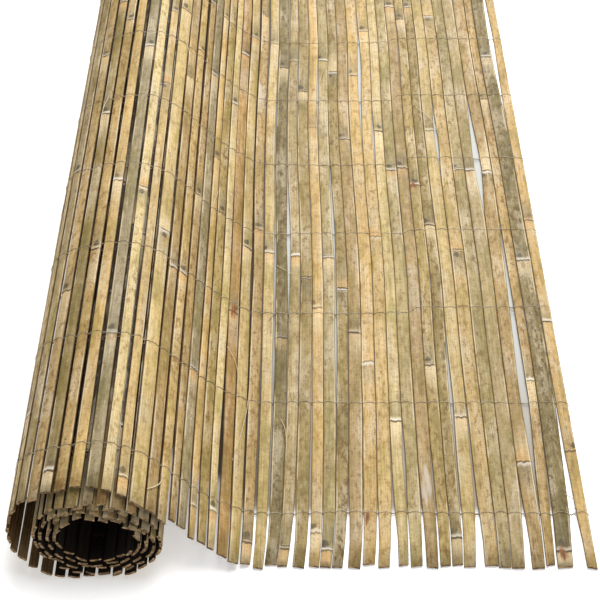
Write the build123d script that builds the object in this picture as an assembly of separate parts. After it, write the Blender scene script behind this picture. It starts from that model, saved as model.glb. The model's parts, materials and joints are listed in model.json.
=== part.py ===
from build123d import *
import math
import os
import random

# A split-bamboo screen, lying half unrolled.
# The slats run along Y. The free edge is at +X, where the screen lies flat on the floor,
# and at -X it climbs over a loose roll of about five turns. Sizes are in millimetres, +Z up.

# The slats
slat_length = 1000.0
slat_thickness = 3.0
crown_drop = 0.8
narrowest_rolled_slat = 9.0
widest_rolled_slat = 12.0
end_scatter = 2.5

# The tie wires, in rows across the slats
tie_rows = 8
tie_margin = 62.5
wire_thickness = 0.7
wire_tail = 3.0

# The gaps between the slats inside the roll, measured on their outer faces
smallest_gap = 1.9
largest_gap = 2.8

# The climb onto the roll and its loose outer turn, as places on the slats' outer faces
free_edge_x = 262.0
climb_start_x = -36.0
roll_top_x = -177.0
roll_top_height = 105.5
roll_left_x = -253.0
roll_bottom_x = -175.0

# The inner turns, wound as a flattened spiral
roll_right_x = -117.0
inner_left_x = -231.0
inner_turns = 4.25
turn_clearance_side = 2.4
turn_clearance_height = 1.5
dent_depth = 5.0
dent_angle = 43.0

# How far the near ends stand back (+) or forward (-) of the flat slats' ends
top_end_offset = 9.0
bottom_end_offset = -10.0
inner_top_end_offset = -5.0

# The slats seen from outside, from the free edge to the left of the roll:
# width, gap to the next slat, and how far the far end leans towards the free edge.
seen_slats = [
    (9.0, 8.8, -4.0), (14.0, 2.2, 3.0), (8.0, 1.9, 3.0), (11.5, 7.0, 2.0), (11.7, 1.0, 1.0),
    (11.0, 1.3, 0.0), (12.0, 5.5, -2.0), (10.8, 0.9, 3.0), (9.2, 1.6, 2.0), (9.5, 2.3, 1.0),
    (10.5, 2.6, 0.0), (10.5, 1.4, 2.0), (9.0, 6.6, 3.0), (10.5, 4.4, 6.0), (11.0, 2.0, 3.0),
    (11.0, 3.8, 3.0), (9.5, 1.1, 5.0), (10.0, 2.5, 4.0), (9.0, 3.1, 1.0), (10.5, 3.4, 3.0),
    (9.0, 0.9, 6.0), (10.5, 2.8, 5.0), (9.0, 2.3, 0.0), (9.0, 1.8, 0.0), (10.5, 1.8, 0.0),
    (10.0, 3.8, 0.0), (7.0, 2.2, 0.0), (9.0, 4.0, 0.0), (6.8, 4.2, 0.0), (10.0, 2.6, 0.0),
    (8.4, 2.4, 0.0), (11.4, 2.2, 0.0), (11.4, 3.0, 0.0), (14.6, 2.4, 0.0), (10.6, 2.0, 0.0),
    (10.8, 1.9, 0.0), (11.6, 3.2, 0.0), (11.2, 2.0, 0.0), (11.4, 1.7, 0.0), (10.6, 1.8, 0.0),
    (10.8, 1.9, 0.0), (10.2, 2.0, 0.0), (10.0, 2.2, 0.0),
]
lead_slats = 31

# Each slat draws its own chances from its number, so that none depends on another
first_seed = 700


def between(first, second, share):
    """The value at a share of the way from the first to the second."""
    return first + (second - first) * share


def climb_and_outer_turn():
    """The curve of the outer faces from the flat run, over the roll and down to its underside."""
    top = roll_top_height
    climb = [(0.20, 0.14), (0.40, 0.365), (0.60, 0.68), (0.78, 0.905)]
    fall = [(0.49, 0.935), (0.87, 0.80), (1.0, 0.55)]
    underside = [(0.10, 0.21), (0.44, 0.05)]
    places = [(climb_start_x, slat_thickness)]
    places += [(between(climb_start_x, roll_top_x, share), height * top) for share, height in climb]
    places += [(roll_top_x, top)]
    places += [(between(roll_top_x, roll_left_x, share), height * top) for share, height in fall]
    places += [(between(roll_left_x, roll_bottom_x, share), height * top) for share, height in underside]
    places += [(roll_bottom_x, wire_thickness)]
    return Spline(*places, tangents=[(-1.0, 0.0), (1.0, 0.0)])


def spiral_point(turned):
    """A place on the outer faces of the inner turns, after a number of turns from the underside.

    The outer turn presses on them at the upper right, where they are a little dented.
    """
    layer = slat_thickness + wire_thickness
    side_step = layer + turn_clearance_side
    height_step = layer + turn_clearance_height
    centre_x = (roll_right_x + inner_left_x - side_step / 2) / 2
    centre_x += (roll_bottom_x - centre_x) * max(0.0, 1.0 - 8.0 * turned)
    reach_x = (roll_right_x - inner_left_x + side_step) / 2 - side_step * turned
    centre_z = (roll_top_height - layer - turn_clearance_height + height_step / 2 + wire_thickness) / 2
    reach_z = centre_z - wire_thickness - height_step * turned
    angle = 2.0 * math.pi * (turned - 0.25)
    dent = dent_depth * max(0.0, math.cos(angle - math.radians(dent_angle))) ** 4
    x = centre_x + (reach_x - dent) * math.cos(angle)
    return x, centre_z + (reach_z - dent) * math.sin(angle)


def winding_path():
    """Close points along the whole winding, from the free edge to the inner end of the roll."""
    curve = climb_and_outer_turn()
    samples = 400
    path = [(free_edge_x, slat_thickness)]
    for step in range(samples + 1):
        place = curve.position_at(step / samples)
        path.append((place.X, place.Y))
    steps_per_turn = 240
    for step in range(1, int(inner_turns * steps_per_turn) + 1):
        path.append(spiral_point(step / steps_per_turn))
    return path


class Walker:
    """Walks along the winding in straight strides, one for each slat and its share of the gaps."""

    def __init__(self, path):
        self.path = path
        self.next = 1
        self.place = path[0]

    def stride(self, length):
        """Moves on to the place that lies the given length away; None past the inner end."""
        start = self.place
        while self.next < len(self.path):
            ahead = self.path[self.next]
            if math.dist(start, ahead) >= length:
                self.place = crossing(start, self.place, ahead, length)
                return self.place
            self.place = ahead
            self.next += 1
        return None


def crossing(centre, inside, outside, radius):
    """Where the line from inside to outside leaves the circle about centre."""
    low, high = 0.0, 1.0
    for _ in range(40):
        middle = (low + high) / 2
        place = blend(inside, outside, middle)
        if math.dist(centre, place) < radius:
            low = middle
        else:
            high = middle
    return blend(inside, outside, high)


def blend(first, second, share):
    """The place at a share of the way from the first place to the second."""
    return (first[0] + (second[0] - first[0]) * share, first[1] + (second[1] - first[1]) * share)


def chances(number):
    """The chance numbers of one slat, the same in each build."""
    return random.Random(first_seed + number)


def rolled_slat(number):
    """The width of one slat inside the roll and the gap after it."""
    chance = chances(number)
    width = chance.uniform(narrowest_rolled_slat, widest_rolled_slat)
    gap = chance.uniform(smallest_gap, largest_gap)
    return width, gap, 0.0


def lay_out_slats():
    """One entry for each slat: its two mid-gap places, width, offset on the stride and lean."""
    walker = Walker(winding_path())
    layout = []
    gap_before = 0.0
    start = walker.place
    while True:
        number = len(layout)
        width, gap, lean = seen_slats[number] if number < len(seen_slats) else rolled_slat(number)
        stride = gap_before / 2 + width + gap / 2
        end = walker.stride(stride)
        if end is None:
            return layout
        shift = gap_before / 2 + width / 2
        layout.append((start, end, width, shift, lean))
        start = end
        gap_before = gap


def direction(start, end):
    """The unit vector from one place to another."""
    length = math.dist(start, end)
    return (end[0] - start[0]) / length, (end[1] - start[1]) / length


def turns_around(place):
    """How many turns a slat lies past the right of the roll, counted along the winding so far."""
    centre_x, centre_z = roll_bottom_x, roll_top_height / 2
    return math.atan2(place[1] - centre_z, place[0] - centre_x) / (2.0 * math.pi)


def count_turns(layout):
    """The turns that each slat lies around the roll's centre; the flat run counts as none."""
    counts = []
    total = 0.0
    before = None
    for number, (start, end, _, _, _) in enumerate(layout):
        now = turns_around(blend(start, end, 0.5))
        if number >= lead_slats and before is not None:
            total += (now - before) % 1.0
        before = now
        counts.append(total)
    return counts


def near_end_offset(place, turns):
    """How far back the near end of a slat stands: the roll's turns slide forward as they wind in."""
    height = min(1.0, place[1] / roll_top_height)
    if turns == 0.0:
        return top_end_offset * min(1.0, height / 0.55)
    if turns < 0.7:
        return bottom_end_offset + (top_end_offset - bottom_end_offset) * height
    top = inner_top_end_offset + 5.0 / max(1.0, turns)
    return bottom_end_offset + (top - bottom_end_offset) * height


def make_slat(number, entry, turns):
    """One slat: a strip of bamboo wall, flat inside and crowned outside."""
    start, end, width, shift, lean = entry
    chance = chances(-number)
    along_x, along_z = direction(start, end)
    centre = (start[0] + along_x * shift, start[1] + along_z * shift)
    near = near_end_offset(centre, turns) + chance.uniform(-end_scatter, end_scatter)
    length = slat_length + chance.uniform(-end_scatter, end_scatter)
    plane = Plane(origin=(centre[0], near, centre[1]), x_dir=(along_x, 0, along_z), z_dir=(0, 1, 0))
    half = width / 2
    section = Polyline(
        (-half, -slat_thickness),
        (half, -slat_thickness),
        (half, -crown_drop),
        (half / 2, 0),
        (-half / 2, 0),
        (-half, -crown_drop),
        close=True,
    )
    slat = extrude(plane * make_face(section), length).solid()
    if lean:
        turn = -math.degrees(math.atan2(lean, slat_length))
        slat = slat.rotate(Axis((centre[0], near + length / 2, 0), (0, 0, 1)), turn)
    return slat


def wire_corners(layout):
    """The places where a tie wire bends, on the slats' outer faces, without those in a straight run."""
    first_start, first_end = layout[0][0], layout[0][1]
    along = direction(first_start, first_end)
    corners = [(first_start[0] - along[0] * wire_tail, first_start[1] - along[1] * wire_tail)]
    for entry, after in zip(layout, layout[1:]):
        here = direction(entry[0], entry[1])
        there = direction(after[0], after[1])
        if abs(here[0] * there[1] - here[1] * there[0]) > 1e-4:
            corners.append(entry[1])
    corners.append(layout[-1][1])
    return corners


def offset_corners(corners, distance):
    """The same bends, moved outwards by a distance from every stretch between them."""
    moved = []
    for number, corner in enumerate(corners):
        before = corners[max(0, number - 1)]
        after = corners[min(len(corners) - 1, number + 1)]
        into = direction(before, corner) if number > 0 else direction(corner, after)
        out = direction(corner, after) if number < len(corners) - 1 else into
        normal_in = (into[1], -into[0])
        normal_out = (out[1], -out[0])
        share = 1.0 + normal_in[0] * normal_out[0] + normal_in[1] * normal_out[1]
        reach_x = distance * (normal_in[0] + normal_out[0]) / share
        reach_z = distance * (normal_in[1] + normal_out[1]) / share
        moved.append((corner[0] + reach_x, corner[1] + reach_z))
    return moved


def make_tie_wire(corners, row):
    """One tie wire: it follows the outer faces of all the slats in its row."""
    spacing = (slat_length - 2 * tie_margin) / (tie_rows - 1)
    middle = tie_margin + spacing * row
    outline = corners + list(reversed(offset_corners(corners, wire_thickness)))
    plane = Plane(origin=(0, middle - wire_thickness / 2, 0), x_dir=(1, 0, 0), z_dir=(0, -1, 0))
    profile = make_face(Polyline(*outline, close=True))
    return extrude(plane * profile, -wire_thickness).solid()


def build():
    """All the sub-parts by name, before they are moved to the origin."""
    layout = lay_out_slats()
    turns = count_turns(layout)
    parts = {}
    for number, entry in enumerate(layout):
        slat = make_slat(number, entry, turns[number])
        if number < lead_slats:
            parts[f"lead_slat_{number + 1:02d}"] = [slat]
        else:
            parts.setdefault(f"roll_turn_{int(turns[number]) + 1}", []).append(slat)
    corners = wire_corners(layout)
    for row in range(tie_rows):
        parts[f"tie_wire_{row + 1}"] = [make_tie_wire(corners, row)]
    return parts


def box_of(parts):
    """The lowest and highest corner of all the sub-parts together."""
    boxes = [solid.bounding_box() for solids in parts.values() for solid in solids]
    lowest = [min(tuple(box.min)[axis] for box in boxes) for axis in range(3)]
    highest = [max(tuple(box.max)[axis] for box in boxes) for axis in range(3)]
    return lowest, highest


def write_parts(parts):
    """Writes each sub-part, with the origin moved to the middle of the underside."""
    lowest, highest = box_of(parts)
    middle_x = (lowest[0] + highest[0]) / 2
    middle_y = (lowest[1] + highest[1]) / 2
    to_origin = Location((-middle_x, -middle_y, -lowest[2]))
    os.makedirs("parts", exist_ok=True)
    for name, solids in parts.items():
        moved = [solid.moved(to_origin) for solid in solids]
        shape = moved[0] if len(moved) == 1 else Compound(moved)
        export_step(shape, f"parts/{name}.step")
    print("lowest corner:", [round(value, 2) for value in lowest])
    print("highest corner:", [round(value, 2) for value in highest])
    print("origin at:", round(middle_x, 2), round(middle_y, 2), round(lowest[2], 2))


sub_parts = build()
write_parts(sub_parts)
print("nodes:", len(sub_parts), "solids:", sum(len(solids) for solids in sub_parts.values()))
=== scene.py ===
# %% [markdown]
# # A split-bamboo screen, half unrolled
# About 140 strips are split from bamboo canes. Pairs of thin galvanised wire run across them
# in rows and twist between every two strips. The CAD part holds plain strips and plain
# strands. Here each strip is carved again with its nodes, its uneven edges and its rough cut
# ends, and each row gets both its wires.

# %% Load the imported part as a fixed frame
import bpy
import bmesh
import json
import math
import random
from mathutils import Matrix, Vector, noise

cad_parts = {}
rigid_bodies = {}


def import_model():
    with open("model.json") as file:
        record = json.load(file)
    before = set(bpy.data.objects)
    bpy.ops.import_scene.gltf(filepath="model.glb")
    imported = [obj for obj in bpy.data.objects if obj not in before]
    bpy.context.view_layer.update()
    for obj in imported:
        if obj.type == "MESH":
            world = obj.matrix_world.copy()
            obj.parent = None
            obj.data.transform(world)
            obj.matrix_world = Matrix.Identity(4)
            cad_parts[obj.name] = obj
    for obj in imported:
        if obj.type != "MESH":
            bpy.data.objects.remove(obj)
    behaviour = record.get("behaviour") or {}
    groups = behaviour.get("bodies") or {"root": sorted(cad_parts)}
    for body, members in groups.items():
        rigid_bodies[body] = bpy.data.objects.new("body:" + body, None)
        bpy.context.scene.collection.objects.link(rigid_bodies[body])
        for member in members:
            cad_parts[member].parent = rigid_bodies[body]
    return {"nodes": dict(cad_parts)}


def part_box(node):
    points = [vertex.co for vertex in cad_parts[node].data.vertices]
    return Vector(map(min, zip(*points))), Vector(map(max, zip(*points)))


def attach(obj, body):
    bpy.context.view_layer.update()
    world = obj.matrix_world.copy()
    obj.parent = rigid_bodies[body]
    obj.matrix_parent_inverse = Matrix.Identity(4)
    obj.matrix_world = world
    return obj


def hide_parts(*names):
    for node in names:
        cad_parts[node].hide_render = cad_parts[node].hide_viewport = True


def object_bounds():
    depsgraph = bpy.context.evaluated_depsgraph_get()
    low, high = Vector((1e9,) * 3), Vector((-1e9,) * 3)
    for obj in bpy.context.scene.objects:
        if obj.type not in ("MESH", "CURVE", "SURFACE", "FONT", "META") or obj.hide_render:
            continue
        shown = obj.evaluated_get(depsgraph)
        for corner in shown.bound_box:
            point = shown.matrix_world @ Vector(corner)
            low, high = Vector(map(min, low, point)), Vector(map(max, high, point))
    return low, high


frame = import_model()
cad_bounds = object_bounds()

print("CAD box:", cad_bounds)

# %% [markdown]
# ## Where every strip lies
# The CAD part already holds every strip's place, so its solid is read back. The two ends
# give its length and direction. The widest long face is the inner one, and it gives the
# width and which way the skin looks.

# %% Measures that every strip shares
mm = 0.001
thickness = 3.0 * mm
crown = 0.8 * mm
wire_radius = 0.33 * mm
tiny = 1e-6


# %% Read one strip from its solid
def mean_of(points):
    """The middle of some points."""
    return sum(points, Vector()) / len(points)


def measure_strip(faces):
    """Place, width, length and directions of one strip, from the faces of its solid."""
    corners = list(dict.fromkeys(vert for face in faces for vert in face.verts))
    middle_y = sum(vert.co.y for vert in corners) / len(corners)
    near = [vert.co for vert in corners if vert.co.y < middle_y]
    far = [vert.co for vert in corners if vert.co.y >= middle_y]
    long_faces = [face for face in faces if abs(face.normal.y) < 0.5]
    inner = max(long_faces, key=lambda face: face.calc_area())
    along = (mean_of(far) - mean_of(near)).normalized()
    across = along.cross(-inner.normal).normalized()
    out = across.cross(along).normalized()
    near_inner = [vert.co for vert in inner.verts if vert.co.y < middle_y]
    return {
        "start": mean_of(near_inner) + out * thickness,
        "width": (near_inner[0] - near_inner[1]).length,
        "length": min((b - a).length for a in near for b in far),
        "along": along,
        "across": across,
        "out": out,
    }


# %% Split a node into its separate solids
def islands(mesh_bm):
    """The groups of joined faces in a mesh."""
    seen = set()
    groups = []
    for first in mesh_bm.faces:
        if first in seen:
            continue
        seen.add(first)
        group = [first]
        for face in group:
            for other in (other for edge in face.edges for other in edge.link_faces):
                if other not in seen:
                    seen.add(other)
                    group.append(other)
        groups.append(group)
    return groups


def strips_in(node):
    """The measures of all the strips in one CAD node."""
    bm = bmesh.new()
    bm.from_mesh(bpy.data.objects[node].data)
    bmesh.ops.remove_doubles(bm, verts=bm.verts, dist=tiny)
    bmesh.ops.dissolve_limit(bm, angle_limit=0.01, verts=bm.verts, edges=bm.edges)
    found = [measure_strip(group) for group in islands(bm)]
    bm.free()
    return found


# %% Put the strips in order, from the free edge to the inside of the roll
def nodes_named(start):
    """The CAD nodes whose names start alike, in order."""
    return sorted(name for name in frame["nodes"] if name.startswith(start))


def middle_of(node):
    """The middle of a CAD node's box."""
    low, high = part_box(node)
    return (Vector(low) + Vector(high)) / 2


def angle_round(strip):
    """How far round the roll a strip lies, in radians from the roll's right."""
    return math.atan2(strip["start"].z - roll_middle.z, strip["start"].x - roll_middle.x)


lead_nodes = nodes_named("lead_slat")
turn_nodes = nodes_named("roll_turn")
wire_nodes = nodes_named("tie_wire")
roll_middle = middle_of(turn_nodes[-1])
strips = [strips_in(node)[0] for node in lead_nodes]
just_past = angle_round(strips[-1]) + 0.02
turn_strips = {}
for node in turn_nodes:
    found = strips_in(node)
    found.sort(key=lambda strip: (angle_round(strip) - just_past) % (2 * math.pi))
    turn_strips[node] = found
    strips += found
for number, strip in enumerate(strips, start=1):
    strip["number"] = number
lead_count = len(lead_nodes)
outer_turn_end = lead_count + len(turn_strips[turn_nodes[0]])
print("strips:", len(strips), "in the roll:", {node: len(found) for node, found in turn_strips.items()})

# %% [markdown]
# ## What makes one strip unlike the next
# No two strips match: the tone runs from honey and straw to sage, olive and grey, and the
# nodes, the raised rings of the cane, fall anywhere. Chance alone would miss the real screen.
# So the strips that are seen from outside have their tone and their nodes listed, and only
# those inside the roll are left to chance.

# %% The tones of dry bamboo
tones = {
    "honey": (0.640, 0.440, 0.195),
    "straw": (0.620, 0.485, 0.255),
    "pale_straw": (0.690, 0.575, 0.350),
    "peach": (0.610, 0.445, 0.225),
    "tan": (0.500, 0.345, 0.165),
    "pink_tan": (0.500, 0.355, 0.190),
    "sage": (0.440, 0.370, 0.205),
    "grey_sage": (0.420, 0.340, 0.205),
    "olive": (0.365, 0.280, 0.120),
    "dark_olive": (0.240, 0.195, 0.085),
    "yellow_olive": (0.480, 0.365, 0.155),
    "taupe": (0.345, 0.305, 0.225),
    "red_brown": (0.480, 0.285, 0.115),
}
outer_tones = """
honey dark_olive tan tan grey_sage sage peach straw olive yellow_olive
pink_tan sage pale_straw peach honey pink_tan olive sage honey olive
grey_sage dark_olive straw tan straw red_brown pale_straw yellow_olive honey taupe
tan peach tan straw peach pale_straw taupe honey tan olive
pink_tan grey_sage straw
""".split()
last_seen = len(outer_tones)

# %% The nodes of the strips that are seen, in millimetres from the near end
# A node that shows its pale side towards the near end is written as a negative place.
outer_nodes = {
    1: (131, 303, 461), 2: (16, 395, 773), 3: (217, 682), 4: (-119, -548), 5: (548,),
    6: (548,), 7: (-410, -864), 8: (172, 621), 9: (28, 449, 883), 10: (240, 519, 857),
    11: (552,), 12: (546,), 13: (165, 619), 14: (-433, 830), 15: (-243, 730),
    16: (287, 606), 17: (-352, -741), 18: (16, 399, 764), 19: (35, 322, 627), 20: (-369, 700),
    21: (17, 400, 762), 22: (276, 747), 23: (408, 804), 24: (22, 441, 862), 25: (408, 806),
    26: (300, 754), 27: (40, 640), 28: (434, 860), 29: (33, 520), 30: (185, 660),
    31: (430, 800), 32: (305, 690), 33: (300, 620), 34: (-345, 744), 35: (18, -580, 725),
    36: (-392, 830), 37: (178, 640), 38: (398, 790), 39: (298, 700), 40: (22, 520, 742),
    41: (250, 640), 42: (434, 850), 43: (105, 560),
}

# %% Stains and mould that are seen
# A stain is its place and its half length in millimetres, and 1 for rust or 0 for bare wood.
stains = {
    2: (13, 8, 1), 10: (519, 6, 1), 11: (88, 22, 0), 15: (50, 8, 1), 18: (397, 6, 1),
    24: (690, 22, 0), 26: (303, 11, 1),
}
no_stain = (-9000, 10, 0)
mouldy = {2, 3, 9, 10, 17, 22, 24, 28, 31, 32, 39, 41, 43, 54}

# %% Chance for each strip, the same in each run
weathering = (0.850, 0.800, 0.652)
common_tone = (0.500, 0.385, 0.200)
likeness = 0.36
most_nodes = 3
shortest_joint = 230
longest_joint = 420
first_node_reach = (-260, 40)
clear_of_far_end = 8
first_seed = 5200


def chance_of(number):
    """A strip's own chance numbers."""
    return random.Random(first_seed + number)


def tone_of(number):
    """The base colour of a strip: listed where it is seen, and by chance inside the roll."""
    chance = chance_of(number)
    name = outer_tones[number - 1] if number <= last_seen else chance.choice(sorted(tones))
    shade = 1.0 + chance.uniform(-0.09, 0.09)
    brightness = sum(tones[name]) / sum(common_tone)
    pairs = zip(tones[name], common_tone)
    mixed = [own + (common * brightness - own) * likeness for own, common in pairs]
    return [value * shade * part for value, part in zip(mixed, weathering)]


def nodes_of(number, length):
    """Up to three node places in metres from the near end; the sign gives the way of growth."""
    places = list(outer_nodes.get(number, ()))
    chance = chance_of(-number)
    way = chance.choice((-1, 1))
    last = max([abs(place) for place in places], default=chance.uniform(*first_node_reach))
    while len(places) < most_nodes and last + shortest_joint < length / mm:
        last += chance.uniform(shortest_joint, longest_joint)
        if last < length / mm - clear_of_far_end:
            places.append(last * (way if number > last_seen else 1))
    return [place * mm for place in places[:most_nodes]]


for strip in strips:
    strip["nodes"] = nodes_of(strip["number"], strip["length"])
print("nodes on the strips:", sum(len(strip["nodes"]) for strip in strips))

# %% [markdown]
# ## How the strips wander
# At their free ends the strips stand apart. Behind the first row they close up, apart from
# some long thin openings. Straight strips with even gaps would let too much floor through.
# So the gaps are set out anew at stations along the screen, and the strips of the unrolled
# part are widened and moved sideways to fill what the gaps leave.

# %% The openings that stay
# Each is the strip before it, where it starts, is widest and ends, and its width, in millimetres.
openings = [
    (1, -200, 0, 200, 9.0), (1, 640, 810, 980, 6.5), (2, -60, 60, 150, 2.4), (3, 60, 200, 480, 8.5),
    (4, 470, 555, 695, 9.5), (7, -60, 70, 250, 2.4), (7, 540, 610, 680, 4.7), (8, -60, 90, 190, 2.4),
    (8, 90, 200, 300, 3.6), (10, 60, 95, 135, 3.0), (12, 75, 110, 170, 3.7), (13, -60, 60, 170, 2.4),
    (13, 565, 610, 660, 3.5), (14, 580, 740, 870, 5.0), (17, 150, 280, 430, 2.6), (17, 340, 440, 600, 3.2),
    (18, 600, 690, 800, 2.6), (19, -60, 60, 330, 2.6), (20, 560, 700, 850, 1.8), (21, 300, 430, 550, 4.6),
    (22, -100, 100, 260, 2.5), (22, 120, 250, 400, 2.9), (22, 250, 390, 540, 3.1), (23, -60, 90, 260, 2.2),
    (24, 290, 370, 450, 3.2), (26, -100, 100, 330, 4.6),
]
front_line = cad_bounds[0][1] + 11.6 * mm
screen_height = 1000.0
splay = 105.0
first_on_climb = 21
closed_gap = 0.38 * mm
closed_gap_on_climb = 1.15 * mm
smallest_gap = 0.25 * mm
inner_slack = 0.8 * mm
roll_share = 1.22
roll_extra = 0.35 * mm


# %% Soft steps and soft chance
def smooth_step(value, low, high):
    """Rises smoothly from 0 to 1 between two limits."""
    share = min(1.0, max(0.0, (value - low) / (high - low)))
    return share * share * (3 - 2 * share)


def soft_noise(place, seed, scale):
    """Smooth chance between -1 and 1 that changes over the given length."""
    return noise.noise(Vector((place / scale, seed * 3.7, 0.5)))


# %% The gap after each strip
def on_line(strip, y):
    """Where a strip's middle line passes a distance along the screen."""
    return strip["start"] + strip["along"] * ((y - strip["start"].y) / strip["along"].y)


def gap_given(number, y):
    """The gap after a strip as the solids have it."""
    here, after = strips[number - 1], strips[number]
    return (on_line(here, y) - on_line(after, y)).length - (here["width"] + after["width"]) / 2


def gap_on_roll(number, y, given):
    """The gap after a strip of the outer turn: it changes along it and from strip to strip."""
    fine = soft_noise(y, number + 60, 0.13)
    slow = soft_noise(y, number + 90, 0.42)
    own = chance_of(number + 41).uniform(-1, 1)
    return given * (roll_share + 0.35 * fine + 0.85 * slow + 0.45 * own) + roll_extra


def gap_unrolled(number, y, given):
    """The gap after an unrolled strip: closed behind the first row, apart from the openings."""
    from_front = (y - front_line) / mm
    drawn_in = smooth_step(from_front, 0, splay) * smooth_step(screen_height - from_front, 0, splay)
    closed = closed_gap if number < first_on_climb else closed_gap_on_climb
    shut = min(given, closed * (1.0 + 0.9 * soft_noise(y, number + 60, 0.13)))
    wanted = given + (shut - given) * drawn_in
    for before, start, widest, end, width in openings:
        if before == number:
            rise = (from_front - start) / (widest - start)
            fall = (end - from_front) / (end - widest)
            wanted = max(wanted, width * mm * min(rise, fall))
    return wanted


def gap_wanted(number, y):
    """The gap after a strip as the finished screen has it."""
    given = gap_given(number, y)
    if number > last_seen:
        return given + inner_slack
    if number >= lead_count:
        return gap_on_roll(number, y, given)
    return gap_unrolled(number, y, given)


# %% Set out the edges of every strip at the stations
station_step = 25 * mm
station_count = 43
first_station = front_line - station_step
evening_reach = 5


def gaps_at(y):
    """How much each gap closes at a distance along the screen, in metres."""
    pairs = range(1, len(strips))
    return [gap_given(number, y) - max(smallest_gap, gap_wanted(number, y)) for number in pairs]


def shifts_at(slack):
    """How far the middle of each gap moves when the unrolled strips all widen alike."""
    widening = sum(slack[:lead_count - 1]) / lead_count
    moved = []
    right = 0.0
    for closing in slack[:lead_count - 1]:
        left = right - widening
        right = left + closing
        moved.append((left + right) / 2)
    return moved + [0.0] * (len(slack) - len(moved))


def evened(values, step, reach):
    """The mean of a list of lists around one step, so that strips stay nearly straight."""
    reach = min(reach, step, len(values) - 1 - step)
    window = values[step - reach:step + reach + 1]
    return [sum(column) / len(window) for column in zip(*window)]


def set_out_edges():
    """Shifts of both edges of each strip at each station, towards the free edge."""
    slacks = [gaps_at(first_station + step * station_step) for step in range(station_count)]
    moves = [shifts_at(slack) for slack in slacks]
    for strip in strips:
        strip["edges"] = []
    for step, slack in enumerate(slacks):
        middle = evened(moves, step, evening_reach)
        for number, strip in enumerate(strips):
            right = middle[number - 1] + slack[number - 1] / 2 if number > 0 else 0.0
            left = middle[number] - slack[number] / 2 if number < len(slack) else 0.0
            strip["edges"].append((right, left))


def edges_at(strip, place):
    """The two edges of a strip at a place along it, measured from its middle line."""
    step = (strip["start"].y + strip["along"].y * place - first_station) / station_step
    step = min(station_count - 1.001, max(0.0, step))
    low = int(step)
    share = step - low
    (right_a, left_a), (right_b, left_b) = strip["edges"][low], strip["edges"][low + 1]
    half = strip["width"] / 2
    return half + right_a + (right_b - right_a) * share, -half + left_a + (left_b - left_a) * share


set_out_edges()
half_way = [edges_at(strip, strip["length"] / 2) for strip in strips[:lead_count]]
print("widths half way along:", [round((right - left) / mm, 1) for right, left in half_way])

# %% [markdown]
# ## Carving one strip
# A strip starts as a box. Its long edges are rounded, and it is cut into rings along its
# length, closer together at the nodes. Moving those rings gives the crown of the skin, the
# raised nodes, the wavy edges and the crooked ends. Finer forms would need millions of
# faces, so anything under about a millimetre is left to the material.

# %% The places of the rings
rings_by_a_node = (-9.0, -4.0, -1.8, -0.7, 0.7, 1.8, 4.0, 9.0)
clear_of_ends = 2 * mm


def ring_places(strip, spacing):
    """Where the rings lie along a strip: evenly, and close together at each node."""
    length = strip["length"]
    count = max(3, round(length / spacing))
    places = [length * step / count for step in range(count + 1)]
    for node in strip["nodes"]:
        by_node = [abs(node) + step * mm for step in rings_by_a_node]
        places += [place for place in by_node if clear_of_ends < place < length - clear_of_ends]
    return sorted(places)


# %% The blank strip with its rings
def mesh_from(bm, name):
    """The finished mesh of what was worked on."""
    mesh = bpy.data.meshes.new(name)
    bm.to_mesh(mesh)
    bm.free()
    return mesh


blanks = {}
blank_width = 10.0 * mm
rim_round = 0.45 * mm


def runs_along(edge):
    """True for an edge of the box from its near end to its far end."""
    return abs(edge.verts[0].co.y - edge.verts[1].co.y) > 0.5


def is_rim(edge):
    """True for the four long edges at the corners of the box."""
    return runs_along(edge) and abs(abs(edge.verts[0].co.x) - blank_width / 2) < tiny


def make_blank(rings):
    """A box with rounded long edges, three cuts across its width and the given rings."""
    bm = bmesh.new()
    bmesh.ops.create_cube(bm, size=1.0)
    bmesh.ops.scale(bm, vec=(blank_width, 1.0, thickness), verts=bm.verts)
    bmesh.ops.translate(bm, vec=(0.0, 0.5, -thickness / 2), verts=bm.verts)
    wide = [edge for edge in bm.edges if abs(edge.verts[0].co.x - edge.verts[1].co.x) > tiny]
    bmesh.ops.subdivide_edges(bm, edges=wide, cuts=3, use_grid_fill=True)
    bmesh.ops.bevel(
        bm, geom=[edge for edge in bm.edges if is_rim(edge)], offset=rim_round,
        offset_type="OFFSET", segments=2, profile=0.5, affect="EDGES", material=-1,
    )
    long_edges = [edge for edge in bm.edges if runs_along(edge)]
    bmesh.ops.subdivide_edges(bm, edges=long_edges, cuts=rings - 2, use_grid_fill=True)
    bmesh.ops.recalc_face_normals(bm, faces=bm.faces)
    return mesh_from(bm, "blank_strip")


def blank_with(rings):
    """The blank with that many rings, made once."""
    if rings not in blanks:
        blanks[rings] = make_blank(rings)
    return blanks[rings]


# %% The forms that are carved into it
left_side_end = last_seen + 7
ridge_height = 0.34 * mm
groove_depth = 0.22 * mm
groove_back = 2.6 * mm
belly_height = 0.30 * mm
mean_rise = 0.35 * mm
tilt_in_view = 0.34
tilt_inside = 0.62
twist_most = 0.30
kink_swing = 0.22 * mm
edge_wave = 0.20 * mm
skin_wave = 0.18 * mm
inner_hollow = 0.25 * mm
slant_most = 0.9
rough_cut = 0.5 * mm


def hump(away, reach):
    """A soft hump, 1 in its middle, that fades over its reach."""
    return math.exp(-((away / reach) ** 2))


def node_swell(strip, place):
    """How far the skin stands out at a place, in metres, because of the nodes near it."""
    swell = 0.0
    for node in strip["nodes"]:
        away = (place - abs(node)) * (1 if node > 0 else -1)
        swell += ridge_height * hump(away, 1.3 * mm)
        swell -= groove_depth * hump(away + groove_back, 1.2 * mm)
        swell += belly_height * hump(away, 14 * mm)
    return swell


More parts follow.
